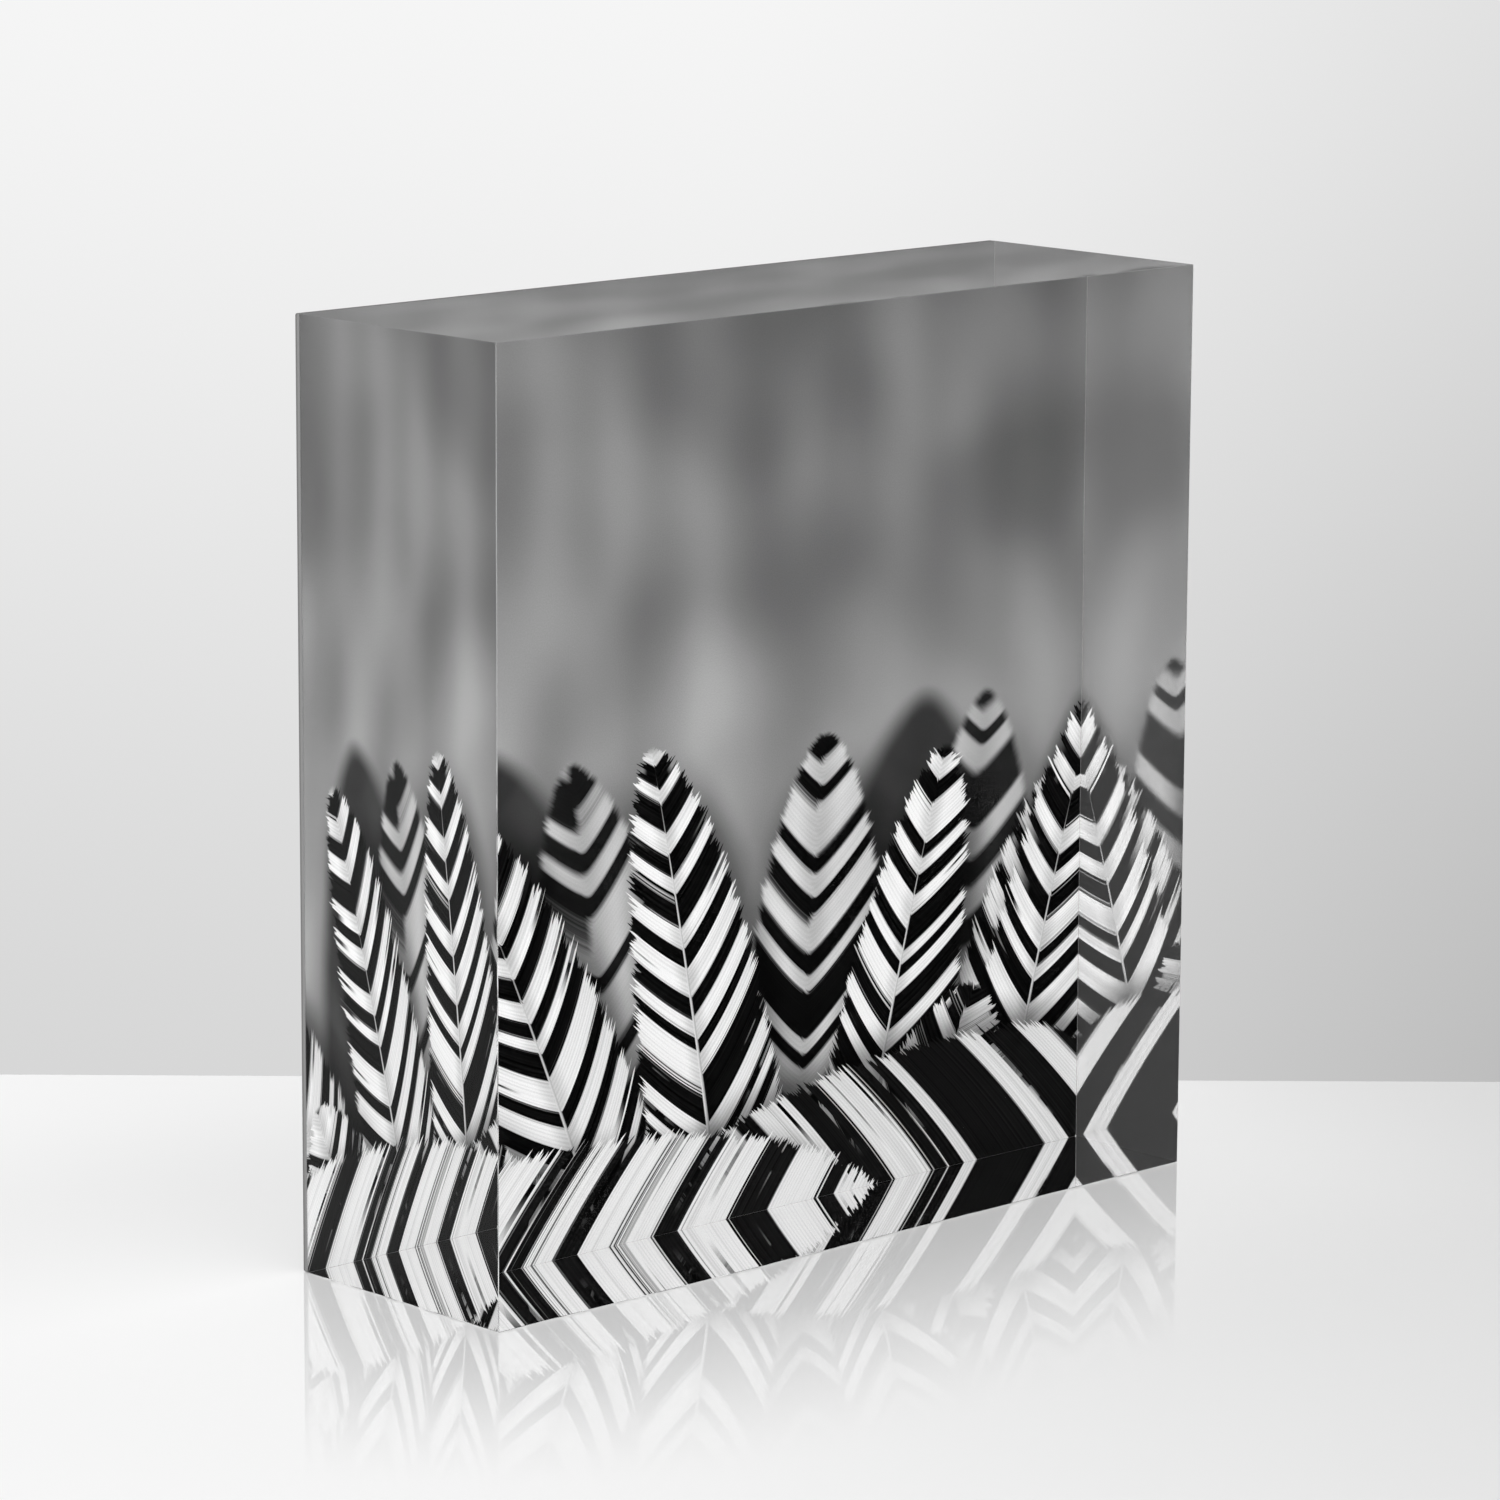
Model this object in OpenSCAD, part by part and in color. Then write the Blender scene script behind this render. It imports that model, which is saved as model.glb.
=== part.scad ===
// Acrylic photo block: a thick clear block with a photographic print bonded to its back,
// and a backing film that seals the print. It stands by itself on its own bottom face.
// X runs along the picture, Y from the front face to the back, Z up. The origin is the
// centre of the bottom face of the whole stack. Millimetres.

/* [Clear block] */
// Width of the block, along the picture
block_w = 100; // [60:1:200]
// Height of the block, as it stands
block_h = 100; // [60:1:200]
// Thickness of the clear acrylic, from front face to print
block_t = 30; // [12:1:50]
// Polished chamfer that eases the front, side, top and bottom edges
edge_chamfer = 0.15; // [0.1:0.05:1.5]

/* [Bonded layers] */
// Thickness of the optically clear adhesive film between the acrylic and the print
clear_adhesive_t = 0.1; // [0.05:0.05:0.5]
// Thickness of the photographic print on its resin-coated paper
print_t = 0.25; // [0.15:0.05:0.8]
// Thickness of the adhesive film between the print and the backing
backing_adhesive_t = 0.1; // [0.05:0.05:0.5]
// Thickness of the backing film that seals the print
backing_t = 0.25; // [0.1:0.05:3]

/* [Hidden] */

// Depth of the whole stack, and where each layer starts, counted from the front face
stack_t = block_t + clear_adhesive_t + print_t + backing_adhesive_t + backing_t;
front_y = -stack_t / 2;
clear_adhesive_y = front_y + block_t;
print_y = clear_adhesive_y + clear_adhesive_t;
backing_adhesive_y = print_y + print_t;
backing_y = backing_adhesive_y + backing_adhesive_t;

// Upright outline that every layer shares: the block's width and height, with its long
// edges eased. It lies in X and Z, and is as thick along Y as it is told.
module upright_slab(thickness) {
    rotate([90, 0, 0])
        mirror([0, 0, 1])
            linear_extrude(height = thickness)
                translate([-block_w / 2, 0])
                    eased_rectangle(block_w, block_h, edge_chamfer, edge_chamfer);
}

// Rectangle from the origin whose corners are cut at 45 degrees: those on the low side
// of the first axis by low_cut, and those on its high side by high_cut.
module eased_rectangle(width, height, low_cut, high_cut) {
    polygon([
        [low_cut, 0],
        [width - high_cut, 0],
        [width, high_cut],
        [width, height - high_cut],
        [width - high_cut, height],
        [low_cut, height],
        [0, height - low_cut],
        [0, low_cut]
    ]);
}

// Prism across the block's width that eases the top and bottom edges of the front face.
module front_easing_across() {
    translate([-block_w / 2, front_y, 0])
        rotate([90, 0, 90])
            linear_extrude(height = block_w)
                eased_rectangle(block_t, block_h, edge_chamfer, 0);
}

// Prism up the block's height that eases the upright edges of the front face.
module front_easing_upright() {
    translate([block_w / 2, front_y, 0])
        rotate([0, 0, 90])
            linear_extrude(height = block_h)
                eased_rectangle(block_t, block_w, edge_chamfer, 0);
}

// The clear block. Its back edges stay sharp, because the print is trimmed flush there.
module acrylic_block() {
    color("lightcyan", 0.35)
        intersection() {
            translate([0, front_y, 0])
                upright_slab(block_t);
            front_easing_across();
            front_easing_upright();
        }
}

module clear_adhesive() {
    color("azure", 0.5)
        translate([0, clear_adhesive_y, 0])
            upright_slab(clear_adhesive_t);
}

module photo_print() {
    color("gray")
        translate([0, print_y, 0])
            upright_slab(print_t);
}

module backing_adhesive() {
    color("gainsboro")
        translate([0, backing_adhesive_y, 0])
            upright_slab(backing_adhesive_t);
}

module backing_film() {
    color([0.08, 0.08, 0.08])
        translate([0, backing_y, 0])
            upright_slab(backing_t);
}

acrylic_block();
clear_adhesive();
photo_print();
backing_adhesive();
backing_film();
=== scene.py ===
import math

import bmesh
import bpy
from mathutils import Matrix, Quaternion, Vector


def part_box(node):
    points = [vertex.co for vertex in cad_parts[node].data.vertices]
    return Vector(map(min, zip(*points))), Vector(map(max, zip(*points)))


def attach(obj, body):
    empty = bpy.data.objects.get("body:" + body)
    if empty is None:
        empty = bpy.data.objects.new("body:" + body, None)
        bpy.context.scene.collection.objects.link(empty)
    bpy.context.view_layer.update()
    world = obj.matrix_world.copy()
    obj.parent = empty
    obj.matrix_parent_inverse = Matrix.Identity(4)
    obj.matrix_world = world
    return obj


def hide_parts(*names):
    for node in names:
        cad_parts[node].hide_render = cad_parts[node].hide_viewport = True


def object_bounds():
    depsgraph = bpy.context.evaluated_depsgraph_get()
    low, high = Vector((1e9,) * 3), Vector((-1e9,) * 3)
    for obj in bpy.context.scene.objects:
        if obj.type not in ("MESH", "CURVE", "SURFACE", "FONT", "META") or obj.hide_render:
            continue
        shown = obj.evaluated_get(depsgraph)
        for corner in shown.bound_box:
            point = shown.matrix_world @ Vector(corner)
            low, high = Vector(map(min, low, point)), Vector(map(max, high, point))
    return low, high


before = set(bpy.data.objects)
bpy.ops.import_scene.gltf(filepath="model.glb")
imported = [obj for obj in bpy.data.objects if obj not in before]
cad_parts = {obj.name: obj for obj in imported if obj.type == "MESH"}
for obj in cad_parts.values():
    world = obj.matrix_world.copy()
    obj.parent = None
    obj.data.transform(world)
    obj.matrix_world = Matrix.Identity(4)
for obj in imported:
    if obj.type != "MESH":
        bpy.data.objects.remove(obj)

cadLow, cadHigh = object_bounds()
scene = bpy.context.scene
mm = 0.001
print("frame loaded with", len(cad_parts), "nodes")


# Small helpers for node trees

def wire(tree, value, socket):
    # a number or colour is set on the socket, and another socket is linked to it
    if isinstance(value, bpy.types.NodeSocket):
        tree.links.new(value, socket)
    elif value is not None:
        socket.default_value = value


def calc(tree, operation, first, second=None, third=None, clamp=False):
    node = tree.nodes.new("ShaderNodeMath")
    node.operation = operation
    node.use_clamp = clamp
    for socket, value in zip(node.inputs, (first, second, third)):
        wire(tree, value, socket)
    return node.outputs[0]


def smooth(tree, value, low, high):
    # 0 below low, 1 above high, and a soft step between
    node = tree.nodes.new("ShaderNodeMapRange")
    node.interpolation_type = "SMOOTHSTEP"
    wire(tree, value, node.inputs["Value"])
    wire(tree, low, node.inputs["From Min"])
    wire(tree, high, node.inputs["From Max"])
    return node.outputs["Result"]


def lerp(tree, factor, first, second):
    node = tree.nodes.new("ShaderNodeMix")
    node.data_type = "FLOAT"
    wire(tree, factor, node.inputs[0])
    wire(tree, first, node.inputs[2])
    wire(tree, second, node.inputs[3])
    return node.outputs[0]


def noise(tree, place, scale, detail=0.0, dimensions="3D", roughness=0.5):
    node = tree.nodes.new("ShaderNodeTexNoise")
    node.noise_dimensions = dimensions
    wire(tree, place, node.inputs["W" if dimensions == "1D" else "Vector"])
    node.inputs["Scale"].default_value = scale
    node.inputs["Detail"].default_value = detail
    node.inputs["Roughness"].default_value = roughness
    return node.outputs[0]


def mapped(tree, place, location=(0, 0, 0), rotation=(0, 0, 0), scale=(1, 1, 1)):
    node = tree.nodes.new("ShaderNodeMapping")
    wire(tree, place, node.inputs["Vector"])
    node.inputs["Location"].default_value = location
    node.inputs["Rotation"].default_value = rotation
    node.inputs["Scale"].default_value = scale
    return node.outputs[0]


def objectPlace(tree):
    return tree.nodes.new("ShaderNodeTexCoord").outputs["Object"]


def separated(tree, place):
    node = tree.nodes.new("ShaderNodeSeparateXYZ")
    wire(tree, place, node.inputs[0])
    return node.outputs


def lightPath(tree, name):
    return tree.nodes.new("ShaderNodeLightPath").outputs[name]


def mirroredRay(tree):
    # 1 for a ray that a surface mirrored, and 0 for one that came through the clear block
    through = lightPath(tree, "Is Transmission Ray")
    return calc(tree, "SUBTRACT", lightPath(tree, "Is Glossy Ray"), through, clamp=True)


def mixShader(tree, factor, first, second):
    node = tree.nodes.new("ShaderNodeMixShader")
    wire(tree, factor, node.inputs[0])
    tree.links.new(first, node.inputs[1])
    tree.links.new(second, node.inputs[2])
    return node.outputs[0]


def shader(tree, kind, **values):
    node = tree.nodes.new(kind)
    for name, value in values.items():
        wire(tree, value, node.inputs[name.replace("_", " ")])
    return node.outputs[0]


def newGroup(name, given, gives):
    # given and gives map socket names to their defaults: a number, or three for a vector
    tree = bpy.data.node_groups.new(name, "ShaderNodeTree")
    for sockets, side in ((given, "INPUT"), (gives, "OUTPUT")):
        for socketName, default in sockets.items():
            kind = "NodeSocketVector" if isinstance(default, tuple) else "NodeSocketFloat"
            socket = tree.interface.new_socket(socketName, in_out=side, socket_type=kind)
            socket.default_value = default
    inside = tree.nodes.new("NodeGroupInput")
    outside = tree.nodes.new("NodeGroupOutput")
    return tree, inside.outputs, outside.inputs


def useGroup(tree, group, **values):
    node = tree.nodes.new("ShaderNodeGroup")
    node.node_tree = group
    for name, value in values.items():
        wire(tree, value, node.inputs[name.replace("_", " ")])
    return node.outputs


def newMaterial(name):
    material = bpy.data.materials.new(name)
    material.use_nodes = True
    tree = material.node_tree
    tree.nodes.clear()
    output = tree.nodes.new("ShaderNodeOutputMaterial")
    return material, tree, output.inputs["Surface"]


# Camera

camera = {
    "azimuth": -43.456,  # degrees, where 0 looks along +Y
    "elevation": 11.024,
    "roll": 0.283,
    "distance": 0.65,
    "aimAcross": 0.3436,  # shares of the block's width and height, on its front face
    "aimUp": 0.5512,
    "lens": 152.41,
    "sensor": 36.0,
}


def makeCamera(settings):
    low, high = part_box("acrylic_block")
    aim = Vector((low.x + settings["aimAcross"] * (high.x - low.x), low.y, settings["aimUp"] * high.z))
    turn, rise = math.radians(settings["azimuth"]), math.radians(settings["elevation"])
    back = Vector((math.sin(turn) * math.cos(rise), -math.cos(turn) * math.cos(rise), math.sin(rise)))
    data = bpy.data.cameras.new("camera")
    data.lens = settings["lens"]
    data.sensor_width = settings["sensor"]
    data.clip_start, data.clip_end = 0.01, 20
    made = bpy.data.objects.new("camera", data)
    scene.collection.objects.link(made)
    made.location = aim + back * settings["distance"]
    made.rotation_mode = "QUATERNION"
    roll = Quaternion((0, 0, 1), math.radians(settings["roll"]))
    made.rotation_quaternion = back.to_track_quat("Z", "Y") @ roll
    scene.camera = made


makeCamera(camera)
print("camera made")


# Faint handling marks, which every polished face shares

def makeHandlingGroup():
    tree, given, gives = newGroup(
        "handling marks", {"Base": 0.0, "Smear": 0.03, "Hairline": 0.02}, {"Roughness": 0.0},
    )
    place = objectPlace(tree)
    smear = smooth(tree, noise(tree, place, 38, 3, roughness=0.6), 0.48, 0.72)
    wiped = mapped(tree, place, rotation=(0.4, 0.7, 0.5), scale=(900, 60, 900))
    hairline = smooth(tree, noise(tree, wiped, 1, 2), 0.66, 0.74)
    marks = calc(tree, "MULTIPLY", smear, given["Smear"])
    marks = calc(tree, "MULTIPLY_ADD", hairline, given["Hairline"], marks)
    wire(tree, calc(tree, "ADD", marks, given["Base"]), gives["Roughness"])
    return tree


handlingMarks = makeHandlingGroup()


# Clear acrylic block

block = {
    "chamfer": 0.07 * mm,
    "chamferSegments": 2,
    "index": 1.49,
    "faceClear": 1.0,
    "rightClear": 0.95,  # one side keeps a haze from sawing
    "edgeClear": 0.97,
    "wornEdgeClear": 0.84,  # the near upright edge and the lower edges beside it, paler from handling
    "flatNormal": 0.999,  # a normal's share along one axis, from which its face is a flat one
    "easedNormal": 0.001,  # and from which an eased edge counts as turned that way
}


def acrylicMaterial(name, clear, base, smear, hairline):
    # lamp rays and diffuse rays pass straight through, so that the print is lit as it is seen
    material, tree, surface = newMaterial(name)
    rough = useGroup(tree, handlingMarks, Base=base, Smear=smear, Hairline=hairline)["Roughness"]
    glass = shader(
        tree, "ShaderNodeBsdfPrincipled", Base_Color=(1, 1, 1, 1), Roughness=rough,
        IOR=block["index"], Transmission_Weight=clear,
    )
    passing = shader(tree, "ShaderNodeBsdfTransparent")
    lamps = calc(tree, "MAXIMUM", lightPath(tree, "Is Shadow Ray"), lightPath(tree, "Is Diffuse Ray"))
    tree.links.new(mixShader(tree, lamps, glass, passing), surface)
    return material


def bondedMaterial(name):
    # the adhesive has the acrylic's own index, so nothing reflects at the bond
    material, tree, surface = newMaterial(name)
    tree.links.new(shader(tree, "ShaderNodeBsdfTransparent"), surface)
    return material


def slabMesh(low, high, chamfer, segments, wholeBlock):
    # a box with its edges along Y eased; the whole block's edges round its front are eased too
    middle = (low + high) / 2
    made = bmesh.new()
    bmesh.ops.create_cube(made, size=1)
    bmesh.ops.scale(made, vec=high - low, verts=made.verts)
    bmesh.ops.translate(made, vec=middle, verts=made.verts)

    def eased(edge):
        centre = (edge.verts[0].co + edge.verts[1].co) / 2
        if abs(centre.y - middle.y) > 1e-6:
            return wholeBlock and centre.y < middle.y
        # the block's lower right edge stays sharp: seen through the front, it makes no line
        return not (wholeBlock and centre.x > middle.x and centre.z < middle.z)

    bmesh.ops.bevel(
        made, geom=[edge for edge in made.edges if eased(edge)], offset=chamfer,
        segments=segments, profile=0.5, affect="EDGES", material=-1,
    )
    return made


def newPiece(name, made, materials, replaced):
    mesh = bpy.data.meshes.new(name)
    made.to_mesh(mesh)
    made.free()
    piece = bpy.data.objects.new(name, mesh)
    scene.collection.objects.link(piece)
    for material in materials:
        mesh.materials.append(material)
    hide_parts(replaced)
    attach(piece, "root")


def makeBlock(settings):
    low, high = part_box("acrylic_block")
    made = slabMesh(low, high, settings["chamfer"], settings["chamferSegments"], True)
    made.normal_update()
    materials = {
        "front": acrylicMaterial("clear acrylic front", settings["faceClear"], 0.0, 0.02, 0.015),
        "side": acrylicMaterial("polished acrylic side", settings["faceClear"], 0.0, 0.025, 0.02),
        "back": bondedMaterial("bonded acrylic back"),
        "edge": acrylicMaterial("eased acrylic edge", settings["edgeClear"], 0.05, 0.05, 0.1),
        "rightSide": acrylicMaterial("hazier acrylic side", settings["rightClear"], 0.0, 0.025, 0.03),
        "wornEdge": acrylicMaterial("worn acrylic edge", settings["wornEdgeClear"], 0.12, 0.05, 0.1),
    }
    slots = list(materials)
    flat, tilted = settings["flatNormal"], settings["easedNormal"]
    for face in made.faces:
        normal = face.normal
        if normal.y < -flat:
            kind = "front"
        elif normal.y > flat:
            kind = "back"
        elif normal.x > flat:
            kind = "rightSide"
        elif normal.x < -flat or abs(normal.z) > flat:
            kind = "side"
        elif normal.z > tilted or normal.x > tilted:
            kind = "edge"
        else:
            kind = "wornEdge"
        face.material_index = slots.index(kind)
    newPiece("clearBlock", made, materials.values(), "acrylic_block")


makeBlock(block)
print("block made")


# Optically clear adhesive

adhesive = {
    "clearance": 0.01 * mm,  # keeps its faces just off the acrylic and the print
    "rimColour": (0.24, 0.24, 0.24, 1),
}


def rimMaterial(name, colour):
    material, tree, surface = newMaterial(name)
    grain = noise(tree, mapped(tree, objectPlace(tree), scale=(4000, 4000, 4000)), 1, 2)
    rim = shader(
        tree, "ShaderNodeBsdfPrincipled", Base_Color=colour, Roughness=lerp(tree, grain, 0.3, 0.6),
        Transmission_Weight=0.6, IOR=block["index"],
    )
    tree.links.new(rim, surface)
    return material


def makeAdhesive(settings):
    low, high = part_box("clear_adhesive")
    gap = Vector((0, settings["clearance"], 0))
    made = slabMesh(low + gap, high - gap, block["chamfer"], 1, False)
    made.normal_update()
    for face in made.faces:
        face.material_index = 0 if abs(face.normal.y) > block["flatNormal"] else 1
    materials = [
        bondedMaterial("clear adhesive face"),
        rimMaterial("clear adhesive rim", settings["rimColour"]),
    ]
    newPiece("clearAdhesive", made, materials, "clear_adhesive")


makeAdhesive(adhesive)
print("adhesive made")


# Photographic print: barred feathers before a soft grey ground

picture = {
    "groundTop": 0.195,
    "groundLow": 0.45,
    "blotchPlace": (563, 214, 0),
    "stemPlace": (331, 129, 0),
    "paperEdge": (0.22, 0.22, 0.22, 1),
    # from the back to the front: root across and up, lean, length, half width, bend, bars, softness, light
    "feathers": [
        (22, -30, -3, 87, 19, -5, 7, 4.0, 0.1),
        (66, -32, 3, 88, 21, 5, 8, 4.5, 0.09),
        (96, -32, 2, 86, 17, 3, 7, 4.0, 0.12),
        (36, -31, -6, 85, 13, -3, 12, 1.4, 0.6),
        (78, -32, 2, 86, 13, 4, 12, 1.6, 0.55),
        (55, -30, 2, 82, 13, 3, 14, 1.1, 0.72),
        (30, -30, -29, 76, 10.5, -8, 14, 0.5, 0.85),
        (74, -32, 13, 79, 10.5, 5, 14, 0.5, 0.85),
        (40, -32, -17, 89, 10.5, -7, 17, 0.32, 0.95),
        (82, -30, 10, 84, 10.5, 6, 16, 0.3, 0.95),
        (60, -34, 9, 84, 10.5, 6, 17, 0.26, 1.0),
        (50, -35, -6, 89, 11, -5, 17, 0.22, 1.0),
        (30, -34, -24, 58, 13, -4, 8, 0.3, 0.95),
        (58, -36, 20, 62, 14, 5, 8, 0.3, 1.0),
        (135, -12, -84, 107, 22, -3, 9, 0.3, 0.95),
        (-40, -13, 84, 112, 25, 3, 9, 0.25, 1.0),
    ],
}


plume = {
    "barbSlant": 0.72,  # a barb's climb for each millimetre outwards
    "barbSlantMore": 0.33,  # what is added to that at the margin
    "crispRange": (0.4, 2.0),  # softness at which single barbs begin to go, and are gone
    "frayScale": 2.6,
    "clumpScale": 0.55,
    "waveScale": 0.12,
    "frayReach": 2.4,
    "clumpReach": 1.8,
    "leftVane": 0.82,  # shares of the half width
    "rightVaneMore": 0.22,
    "rootRange": (0.0, 1.5),
    "tipRange": (0.985, 1.0),  # shares of the length
    "barLevel": 0.51,
    "meltRange": (1.0, 5.0),  # softness over which the bars melt together
    "vaneTones": (1.0, 0.92),
    "shaftHalf": 0.52,
    "shaftTaper": -0.42,
    "shaftTones": (0.92, 0.35),
    "shadowShift": -1.2,
    "shadowRange": (-3.5, 1.5),
    "shadowDepths": (0.25, 0.7),
}


def makeFeatherGroup(settings):
    # lengths are millimetres on the print, counted from its lower left corner
    tree, given, gives = newGroup("barred feather", {
        "Tone": 0.2, "Place": (0.0, 0.0, 0.0), "Root Across": 50.0, "Root Up": -20.0, "Lean": 0.0,
        "Length": 90.0, "Half Width": 10.0, "Bend": 0.0, "Bars": 12.0, "Softness": 0.25,
        "Light": 1.0, "Seed": 0.0,
    }, {"Tone": 0.0, "Place": (0.0, 0.0, 0.0)})
    root = tree.nodes.new("ShaderNodeCombineXYZ")
    wire(tree, given["Root Across"], root.inputs[0])
    wire(tree, given["Root Up"], root.inputs[1])
    turned = tree.nodes.new("ShaderNodeVectorRotate")
    turned.rotation_type = "Z_AXIS"
    wire(tree, given["Place"], turned.inputs["Vector"])
    wire(tree, root.outputs[0], turned.inputs["Center"])
    wire(tree, given["Lean"], turned.inputs["Angle"])
    offset = tree.nodes.new("ShaderNodeVectorMath")
    offset.operation = "SUBTRACT"
    wire(tree, turned.outputs[0], offset.inputs[0])
    wire(tree, root.outputs[0], offset.inputs[1])
    local = separated(tree, offset.outputs[0])
    along = local[1]

    # place along the shaft as a share of the length, and across it from the bent shaft
    share = calc(tree, "DIVIDE", along, given["Length"], clamp=True)
    bend = calc(tree, "MULTIPLY", given["Bend"], calc(tree, "POWER", share, 2.0))
    across = calc(tree, "SUBTRACT", local[0], bend)
    # out of focus, the two sides run into each other at the shaft
    spread = calc(tree, "MULTIPLY", given["Softness"], 0.5)
    blurred = calc(tree, "MULTIPLY", spread, spread)
    side = calc(tree, "SQRT", calc(tree, "MULTIPLY_ADD", across, across, blurred))
    turning = calc(tree, "ADD", spread, 0.15)
    onRight = smooth(tree, across, calc(tree, "MULTIPLY", turning, -1.0), turning)

    # each barb leaves the shaft at a slant, so a point belongs to a barb rooted lower down
    outShare = calc(tree, "DIVIDE", side, given["Half Width"])
    sweep = calc(tree, "MULTIPLY_ADD", outShare, settings["barbSlantMore"], settings["barbSlant"])
    barb = calc(tree, "SUBTRACT", along, calc(tree, "MULTIPLY", side, sweep))
    seeded = calc(tree, "ADD", barb, calc(tree, "MULTIPLY_ADD", given["Seed"], 37.0, onRight))
    # a feather out of focus shows no single barbs
    crisp = calc(tree, "SUBTRACT", 1.0, smooth(tree, given["Softness"], *settings["crispRange"]))

    def uneven(scale):
        centred = calc(tree, "SUBTRACT", noise(tree, seeded, scale, 1, "1D"), 0.5)
        return calc(tree, "MULTIPLY", centred, crisp)

    fray = uneven(settings["frayScale"])
    clump = uneven(settings["clumpScale"])
    wave = noise(tree, seeded, settings["waveScale"], 1, "1D")

    # outline: narrow at the root, nearly parallel, and drawn in to the tip
    swell = calc(tree, "POWER", smooth(tree, share, 0.0, 0.45), 0.8)
    tip = calc(tree, "SUBTRACT", 1.0, calc(tree, "POWER", share, 4.0), clamp=True)
    tip = calc(tree, "POWER", tip, 0.62)
    width = calc(tree, "MULTIPLY", given["Half Width"], calc(tree, "MULTIPLY", swell, tip))
    vaneShare = calc(tree, "MULTIPLY_ADD", onRight, settings["rightVaneMore"], settings["leftVane"])
    width = calc(tree, "MULTIPLY", width, vaneShare)
    ragged = calc(tree, "MULTIPLY_ADD", fray, settings["frayReach"], width)
    ragged = calc(tree, "MULTIPLY_ADD", clump, settings["clumpReach"], ragged)
    depth = calc(tree, "SUBTRACT", ragged, side)
    outward = calc(tree, "DIVIDE", side, calc(tree, "MAXIMUM", width, 0.5), clamp=True)
    ended = calc(tree, "SUBTRACT", 1.0, smooth(tree, share, *settings["tipRange"]))
    present = calc(tree, "MULTIPLY", smooth(tree, along, *settings["rootRange"]), ended)
    split = calc(tree, "MULTIPLY", smooth(tree, clump, 0.16, 0.2), smooth(tree, outward, 0.45, 0.8))
    inside = calc(tree, "MULTIPLY", smooth(tree, depth, 0.0, given["Softness"]), present)
    inside = calc(tree, "MULTIPLY", inside, calc(tree, "SUBTRACT", 1.0, split))

    # dark bars that follow the barbs; out of focus they melt together
    cycle = calc(tree, "DIVIDE", calc(tree, "MULTIPLY", barb, given["Bars"]), given["Length"])
    cycle = calc(tree, "ADD", cycle, calc(tree, "MULTIPLY_ADD", wave, 1.1, given["Seed"]))
    cycle = calc(tree, "MULTIPLY_ADD", clump, 0.16, cycle)
    ramp = calc(tree, "MULTIPLY", calc(tree, "PINGPONG", cycle, 0.5), 2.0)
    ramp = calc(tree, "MULTIPLY_ADD", fray, 0.4, ramp)
    blur = calc(tree, "MULTIPLY_ADD", given["Softness"], 0.09, 0.05)
    barFrom = calc(tree, "SUBTRACT", settings["barLevel"], blur)
    barTo = calc(tree, "ADD", settings["barLevel"], blur)
    light = smooth(tree, ramp, barFrom, barTo)
    light = lerp(tree, smooth(tree, given["Softness"], *settings["meltRange"]), light, 0.5)

    # fine lines between the barbs
    wavering = calc(tree, "MULTIPLY_ADD", clump, 9.0, calc(tree, "MULTIPLY", barb, 12.0))
    line = calc(tree, "MULTIPLY_ADD", calc(tree, "SINE", wavering), 0.5, 0.5)
    line = calc(tree, "MULTIPLY", calc(tree, "MULTIPLY", line, crisp), 0.15)
    pale = calc(tree, "MULTIPLY_ADD", clump, 0.45, 1.08)
    # a broad feather's bars are a little greyer
    dark = calc(tree, "MULTIPLY_ADD", fray, 0.02, calc(tree, "MULTIPLY", given["Half Width"], 0.0004))
    tone = lerp(tree, light, dark, pale)
    tone = calc(tree, "MULTIPLY", tone, calc(tree, "SUBTRACT", 1.0, line))

    # one vane turns to the light, and both curve away towards the margin
    vane = lerp(tree, onRight, *settings["vaneTones"])
    curve = calc(tree, "SUBTRACT", 1.0, calc(tree, "MULTIPLY", calc(tree, "POWER", outward, 3.0), 0.12))
    grooveEdge = calc(tree, "MULTIPLY_ADD", given["Softness"], 1.5, 1.9)
    groove = lerp(tree, smooth(tree, side, 0.3, grooveEdge), 0.72, 1.0)
    tone = calc(tree, "MULTIPLY", tone, calc(tree, "MULTIPLY", vane, calc(tree, "MULTIPLY", curve, groove)))
    shaft = calc(tree, "MULTIPLY_ADD", share, settings["shaftTaper"], settings["shaftHalf"])
    onShaft = calc(tree, "SUBTRACT", 1.0, smooth(tree, side, calc(tree, "MULTIPLY", shaft, 0.6), shaft))
    onShaft = calc(tree, "MULTIPLY", onShaft, crisp)
    tone = lerp(tree, onShaft, tone, lerp(tree, onRight, *settings["shaftTones"]))
    tone = calc(tree, "MULTIPLY", tone, given["Light"], clamp=True)

    # soft shadow on what lies behind
    shifted = calc(tree, "ABSOLUTE", calc(tree, "ADD", across, settings["shadowShift"]))
    shadow = smooth(tree, calc(tree, "SUBTRACT", width, shifted), *settings["shadowRange"])
    shadowEnds = calc(tree, "SUBTRACT", present, smooth(tree, share, 0.86, 1.0), clamp=True)
    shadow = calc(tree, "MULTIPLY", shadow, shadowEnds)
    shadow = calc(tree, "MULTIPLY", shadow, lerp(tree, crisp, *settings["shadowDepths"]))
    behind = calc(tree, "MULTIPLY", given["Tone"], calc(tree, "SUBTRACT", 1.0, shadow))
    result = lerp(tree, inside, behind, tone)
    wire(tree, result, gives["Tone"])

    # the place is handed on unchanged, but only after the tone: feathers that are worked out one by one
    # fit in the renderer's small shader memory, and all at once they don't
    same = tree.nodes.new("ShaderNodeVectorMath")
    same.operation = "SCALE"
    wire(tree, given["Place"], same.inputs["Vector"])
    wire(tree, calc(tree, "MULTIPLY_ADD", result, 1e-9, 1.0), same.inputs["Scale"])
    wire(tree, same.outputs[0], gives["Place"])
    return tree


barredFeather = makeFeatherGroup(plume)


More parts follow.
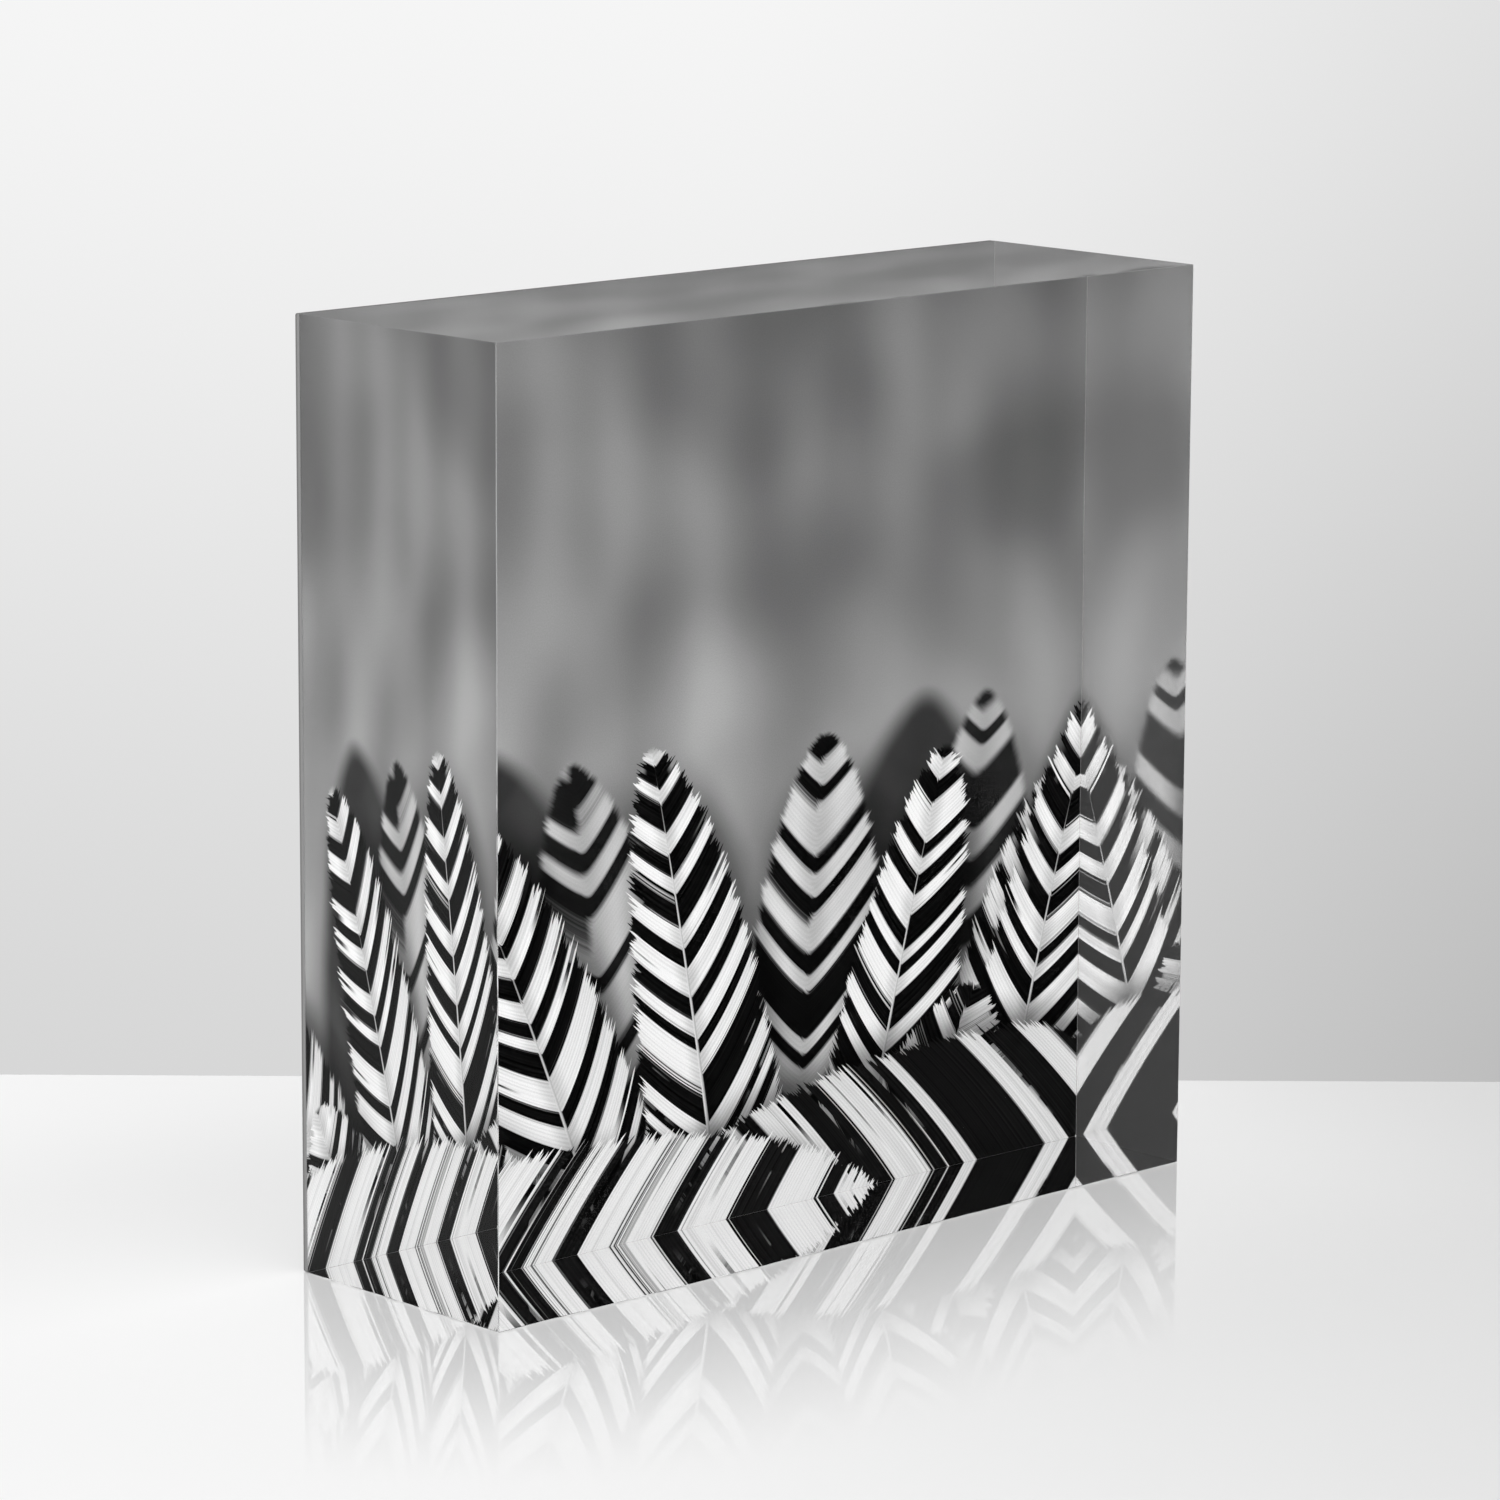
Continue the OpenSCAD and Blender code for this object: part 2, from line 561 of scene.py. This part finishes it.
def pictureTone(tree, settings):
    inMillimetres = separated(tree, mapped(tree, objectPlace(tree), scale=(1 / mm, 1 / mm, 1 / mm)))
    low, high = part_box("photo_print")
    flat = tree.nodes.new("ShaderNodeCombineXYZ")
    wire(tree, calc(tree, "SUBTRACT", inMillimetres[0], low.x / mm), flat.inputs[0])
    wire(tree, inMillimetres[2], flat.inputs[1])
    place = flat.outputs[0]
    up = calc(tree, "DIVIDE", inMillimetres[2], high.z / mm)
    # soft blotches, and taller ones like far stems
    blotch = noise(tree, mapped(tree, place, settings["blotchPlace"]), 0.04, 1, "2D")
    stems = noise(tree, mapped(tree, place, settings["stemPlace"], scale=(1, 0.25, 1)), 0.1, 0, "2D")
    tone = lerp(tree, smooth(tree, up, 0.1, 1.0), settings["groundLow"], settings["groundTop"])
    tone = calc(tree, "MULTIPLY", tone, lerp(tree, smooth(tree, blotch, 0.22, 0.78), 0.62, 1.24))
    tone = calc(tree, "MULTIPLY", tone, lerp(tree, smooth(tree, stems, 0.2, 0.8), 0.84, 1.16))
    rightward = calc(tree, "DIVIDE", inMillimetres[0], high.x / mm)
    tone = calc(tree, "MULTIPLY", tone, lerp(tree, smooth(tree, rightward, -1.0, 1.0), 1.04, 0.86))
    for seed, row in enumerate(settings["feathers"]):
        across, height, lean, length, halfWidth, bend, bars, softness, light = row
        feather = useGroup(
            tree, barredFeather, Tone=tone, Place=place, Root_Across=across, Root_Up=height,
            Lean=math.radians(lean), Length=length, Half_Width=halfWidth, Bend=bend, Bars=bars,
            Softness=softness, Light=light, Seed=seed * 1.37,
        )
        tone, place = feather["Tone"], feather["Place"]
    grain = noise(tree, place, 7, 0, "2D")
    return calc(tree, "MULTIPLY", tone, lerp(tree, grain, 0.93, 1.07))


def makePrintMaterial(settings):
    material, tree, surface = newMaterial("monochrome print")
    geometry = tree.nodes.new("ShaderNodeNewGeometry")
    normal = separated(tree, geometry.outputs["True Normal"])
    onFront = calc(tree, "LESS_THAN", normal[1], -0.9)
    shown = tree.nodes.new("ShaderNodeMix")
    shown.data_type = "RGBA"
    wire(tree, onFront, shown.inputs[0])
    shown.inputs[6].default_value = settings["paperEdge"]
    wire(tree, pictureTone(tree, settings), shown.inputs[7])
    printed = shader(
        tree, "ShaderNodeBsdfPrincipled", Base_Color=shown.outputs[2], Roughness=0.7, Specular_IOR_Level=0.0,
    )
    tree.links.new(printed, surface)
    return material


def dress(nodeName, material):
    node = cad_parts[nodeName]
    node.data.materials.clear()
    node.data.materials.append(material)


dress("photo_print", makePrintMaterial(picture))
print("print dressed")


# Backing: an adhesive film and a matt black film

backing = {
    "glue": (0.2, 0.2, 0.195, 1),
    "film": 0.022,
    "filmWorn": 0.06,
    "filmEdge": 0.15,  # the film is grey right through, under its black face
}


def makeGlueMaterial(settings):
    material, tree, surface = newMaterial("backing adhesive")
    grain = noise(tree, mapped(tree, objectPlace(tree), scale=(2500, 2500, 2500)), 1, 2)
    glue = shader(
        tree, "ShaderNodeBsdfPrincipled", Base_Color=settings["glue"], Roughness=lerp(tree, grain, 0.35, 0.6),
    )
    tree.links.new(glue, surface)
    return material


def makeFilmMaterial(settings):
    material, tree, surface = newMaterial("matt black backing film")
    place = objectPlace(tree)
    leather = noise(tree, place, 2600, 3, roughness=0.6)
    cloud = noise(tree, place, 45, 3)
    scuffed = mapped(tree, place, rotation=(0, 0.5, 0), scale=(60, 60, 1800))
    scuff = smooth(tree, noise(tree, scuffed, 1, 3), 0.64, 0.76)
    clouded = lerp(tree, cloud, settings["film"] * 0.8, settings["film"] * 1.3)
    tone = lerp(tree, scuff, clouded, settings["filmWorn"])
    geometry = tree.nodes.new("ShaderNodeNewGeometry")
    facesBack = smooth(tree, separated(tree, geometry.outputs["True Normal"])[1], 0.7, 0.9)
    tone = lerp(tree, facesBack, settings["filmEdge"], tone)
    rough = calc(tree, "SUBTRACT", lerp(tree, cloud, 0.5, 0.62), calc(tree, "MULTIPLY", scuff, 0.12))
    bump = tree.nodes.new("ShaderNodeBump")
    bump.inputs["Strength"].default_value = 0.35
    bump.inputs["Distance"].default_value = 0.05 * mm
    wire(tree, leather, bump.inputs["Height"])
    film = shader(
        tree, "ShaderNodeBsdfPrincipled", Base_Color=tone, Roughness=rough, Normal=bump.outputs[0],
    )
    tree.links.new(film, surface)
    return material


dress("backing_adhesive", makeGlueMaterial(backing))
dress("backing_film", makeFilmMaterial(backing))
print("backing dressed")


# Stage: a pale glossy table and a plain wall, square to the camera, whose tones hold painted shade and
# painted reflections

stage = {
    "tableDrop": 0.05 * mm,  # a breath of air under the block keeps its base a mirror
    "tableHalf": 3.0,
    "wallBehind": 0.0825,  # from the camera's aim point
    "wallHalf": 1.6,
    # painted shade: the table's colour runs darker to the right
    "tableLeft": 0.9,
    "tableRight": 0.72,
    "farPaintedLightLeft": 1.08,  # painted light: the table's far part, which the block's back shades on the left, is painted paler there, and darker on the right as painted shade
    "farPaintedShadeRight": 0.94,
    "mirror": 1.2,  # strength of the table's mirror beside the block
    "mirrorFar": 0.01,
    "mirrorReach": 0.053,
    "mirrorRough": 0.018,
    # the wall glows with these tones, with painted shade darker at its foot and to the right
    "wallTop": 0.93,
    "wallShadedFoot": 0.67,
    "wallShadeRightTop": 0.77,
    "wallShadeRightFoot": 0.68,
    # painted reflections: the tones that mirrored rays see on the wall's foot, the wall and the table
    "footMirroredLeft": 1.0,
    "footMirroredRight": 0.84,
    "wallMirrored": 0.32,
    "tableMirroredLeft": 0.3,
    "tableMirroredFront": 0.015,
    "mirroredLeftOf": -0.08,  # x less y, which is -0.035 at the block's near corner
    "mirroredFrontOf": -0.035,
    "mirrorIndex": 1.8,
    # where the tones change, in metres square to the camera
    "tableRightRange": (-0.03, 0.13),
    "tableFarRange": (-0.03, 0.05),
    "wallHeightRange": (-0.02, 0.15),
    "wallRightRange": (-0.01, 0.13),
    "footRange": (0.06, 0.1),
    "farLeftRange": (-0.35, -0.15),
}


def stagePlane(name, matrix, half, material):
    made = bmesh.new()
    bmesh.ops.create_grid(made, x_segments=1, y_segments=1, size=half, matrix=matrix)
    mesh = bpy.data.meshes.new(name)
    made.to_mesh(mesh)
    made.free()
    plane = bpy.data.objects.new(name, mesh)
    scene.collection.objects.link(plane)
    mesh.materials.append(material)
    return plane


def tableMaterial(settings, turn):
    material, tree, surface = newMaterial("white table")
    place = objectPlace(tree)
    facing = separated(tree, mapped(tree, place, rotation=(0, 0, -turn)))
    # painted shade: darker to the right; on the far part, painted light on the left and painted shade on the
    # right
    right = smooth(tree, facing[0], *settings["tableRightRange"])
    tone = lerp(tree, right, settings["tableLeft"], settings["tableRight"])
    farShare = lerp(tree, right, settings["farPaintedLightLeft"], settings["farPaintedShadeRight"])
    far = smooth(tree, facing[1], *settings["tableFarRange"])
    tone = calc(tree, "MULTIPLY", tone, lerp(tree, far, 1.0, farShare))
    # distance outside the block's footprint
    outside = tree.nodes.new("ShaderNodeVectorMath")
    outside.operation = "ABSOLUTE"
    wire(tree, place, outside.inputs[0])
    past = tree.nodes.new("ShaderNodeVectorMath")
    past.operation = "SUBTRACT"
    wire(tree, outside.outputs[0], past.inputs[0])
    past.inputs[1].default_value = (cadHigh.x, cadHigh.y, 1)
    kept = tree.nodes.new("ShaderNodeVectorMath")
    kept.operation = "MAXIMUM"
    wire(tree, past.outputs[0], kept.inputs[0])
    kept.inputs[1].default_value = (0, 0, 0)
    away = tree.nodes.new("ShaderNodeVectorMath")
    away.operation = "LENGTH"
    wire(tree, kept.outputs[0], away.inputs[0])
    fade = smooth(tree, away.outputs["Value"], 0.0, settings["mirrorReach"])
    strength = lerp(tree, fade, settings["mirror"], settings["mirrorFar"])
    fresnel = tree.nodes.new("ShaderNodeFresnel")
    fresnel.inputs["IOR"].default_value = settings["mirrorIndex"]
    strength = calc(tree, "MULTIPLY", strength, fresnel.outputs[0])
    matt = shader(tree, "ShaderNodeBsdfDiffuse", Color=tone)
    gloss = shader(tree, "ShaderNodeBsdfGlossy", Color=(1, 1, 1, 1), Roughness=settings["mirrorRough"])
    seen = mixShader(tree, strength, matt, gloss)
    # painted reflection: to rays that the block's own faces mirror, the table glows with a set tone, pale to
    # the left and behind, dark in front
    original = separated(tree, place)
    forward = calc(tree, "SUBTRACT", original[0], original[1])
    inFront = smooth(tree, forward, settings["mirroredLeftOf"], settings["mirroredFrontOf"])
    paintedTableReflection = lerp(tree, inFront, settings["tableMirroredLeft"], settings["tableMirroredFront"])
    mirrored = shader(tree, "ShaderNodeEmission", Color=paintedTableReflection, Strength=1.0)
    tree.links.new(mixShader(tree, mirroredRay(tree), seen, mirrored), surface)
    return material


def wallMaterial(settings, turn):
    material, tree, surface = newMaterial("pale wall")
    place = objectPlace(tree)
    facing = separated(tree, mapped(tree, place, rotation=(0, 0, -turn)))
    # painted shade: the wall glows darker towards its foot and to the right
    height = smooth(tree, facing[2], *settings["wallHeightRange"])
    tone = lerp(tree, height, settings["wallShadedFoot"], settings["wallTop"])
    right = smooth(tree, facing[0], *settings["wallRightRange"])
    paintedShadeRight = lerp(tree, height, settings["wallShadeRightFoot"], settings["wallShadeRightTop"])
    tone = calc(tree, "MULTIPLY", tone, lerp(tree, right, 1.0, paintedShadeRight))
    # painted reflection: to mirrored rays the wall glows with set tones. The table mirrors its foot as pale
    # as the table, and the block's top face mirrors the part above
    high = smooth(tree, facing[2], *settings["footRange"])
    low = lerp(tree, right, settings["footMirroredLeft"], settings["footMirroredRight"])
    # far to the left, where only the block's own side mirrors it, it is as the table is there
    nearer = smooth(tree, facing[0], *settings["farLeftRange"])
    low = lerp(tree, nearer, settings["tableMirroredLeft"], low)
    paintedWallReflection = lerp(tree, high, low, calc(tree, "MULTIPLY", tone, settings["wallMirrored"]))
    shown = lerp(tree, mirroredRay(tree), tone, paintedWallReflection)
    # the wall is an unlit glow, so all its light and shade is painted
    wallGlow = shader(tree, "ShaderNodeEmission", Color=shown, Strength=1.0)
    clear = shader(tree, "ShaderNodeBsdfTransparent")
    behind = tree.nodes.new("ShaderNodeNewGeometry").outputs["Backfacing"]
    tree.links.new(mixShader(tree, behind, wallGlow, clear), surface)
    return material


def makeStage(settings):
    turn = math.radians(camera["azimuth"])
    stagePlane(
        "table", Matrix.Translation((0, 0, -settings["tableDrop"])), settings["tableHalf"],
        tableMaterial(settings, turn),
    )
    low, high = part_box("acrylic_block")
    aim = Vector((low.x + camera["aimAcross"] * (high.x - low.x), low.y, 0))
    heading = Vector((-math.sin(turn), math.cos(turn), 0))
    foot = aim + heading * settings["wallBehind"]
    upright = Matrix.Rotation(turn, 4, "Z") @ Matrix.Rotation(math.radians(90), 4, "X")
    wall = stagePlane(
        "wall", Matrix.Translation(foot + Vector((0, 0, settings["wallHalf"]))) @ upright,
        settings["wallHalf"], wallMaterial(settings, turn),
    )
    wall.visible_diffuse = False
    wall.visible_shadow = False


makeStage(stage)
print("stage made")


# Light

light = {
    "sky": 0.76,
    "skySeen": 0.88,
    "skyMirrored": 0.4,
    "softboxPower": 53.0,
    "softboxSize": 1.8,
    "softboxPlace": (-2.2, -1.15, 1.1),  # from the left, so that the shadow falls mostly behind the block
}


def makeWorld(settings):
    world = bpy.data.worlds.new("studio")
    scene.world = world
    world.use_nodes = True
    tree = world.node_tree
    tree.nodes.clear()
    output = tree.nodes.new("ShaderNodeOutputWorld")
    seen = calc(tree, "MAXIMUM", lightPath(tree, "Is Camera Ray"), lightPath(tree, "Is Transmission Ray"))
    strength = lerp(tree, seen, settings["sky"], settings["skySeen"])
    strength = lerp(tree, mirroredRay(tree), strength, settings["skyMirrored"])
    ground = shader(tree, "ShaderNodeBackground", Color=(1, 1, 1, 1), Strength=strength)
    tree.links.new(ground, output.inputs["Surface"])


def makeSoftbox(settings):
    data = bpy.data.lights.new("softbox", "AREA")
    data.shape = "SQUARE"
    data.size = settings["softboxSize"]
    data.energy = settings["softboxPower"]
    lamp = bpy.data.objects.new("softbox", data)
    scene.collection.objects.link(lamp)
    lamp.location = settings["softboxPlace"]
    aim = (cadLow + cadHigh) / 2
    lamp.rotation_mode = "QUATERNION"
    lamp.rotation_quaternion = (Vector(settings["softboxPlace"]) - aim).to_track_quat("Z", "Y")
    lamp.visible_glossy = False
    lamp.visible_transmission = False


makeWorld(light)
makeSoftbox(light)
scene.view_settings.view_transform = "Standard"
print("light made")
